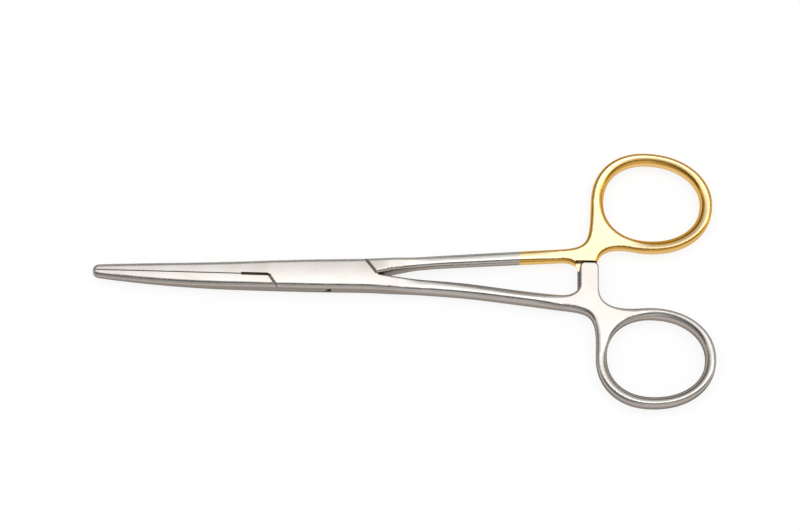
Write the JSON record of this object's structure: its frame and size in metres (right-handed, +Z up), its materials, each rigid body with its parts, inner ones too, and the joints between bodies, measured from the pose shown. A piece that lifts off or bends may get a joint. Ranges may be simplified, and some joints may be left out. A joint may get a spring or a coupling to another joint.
{
  "type": "hemostat forceps",
  "caption": "Straight box-lock haemostatic forceps with serrated jaws, ratchet arms and finger rings, one ring and shank end gold-coloured.",
  "frame": {"origin": "on the pivot axis, in the flat underside of the box", "axes": "+X along the closed forceps from the pivot to the finger rings, +Y to the ring of the tongue half, +Z up through the box"},
  "size_m": [0.1599, 0.0703, 0.0048],
  "materials": {
    "steel": "satin",
    "plated_steel": "satin steel, gold plated from the rear third of the shank to the ring"
  },
  "bodies": {
    "box_body": {"box_half": "steel", "box_lock_rivet": "steel"},
    "tongue_body": {"tongue_half": "plated_steel"}
  },
  "joints": [
    {"name": "box_lock_pivot", "type": "hinge", "parent": "box_body", "child": "tongue_body", "pos_m": [0, 0, 0.0024], "axis": [0, 0, 1], "range_deg": [0, 60]}
  ]
}
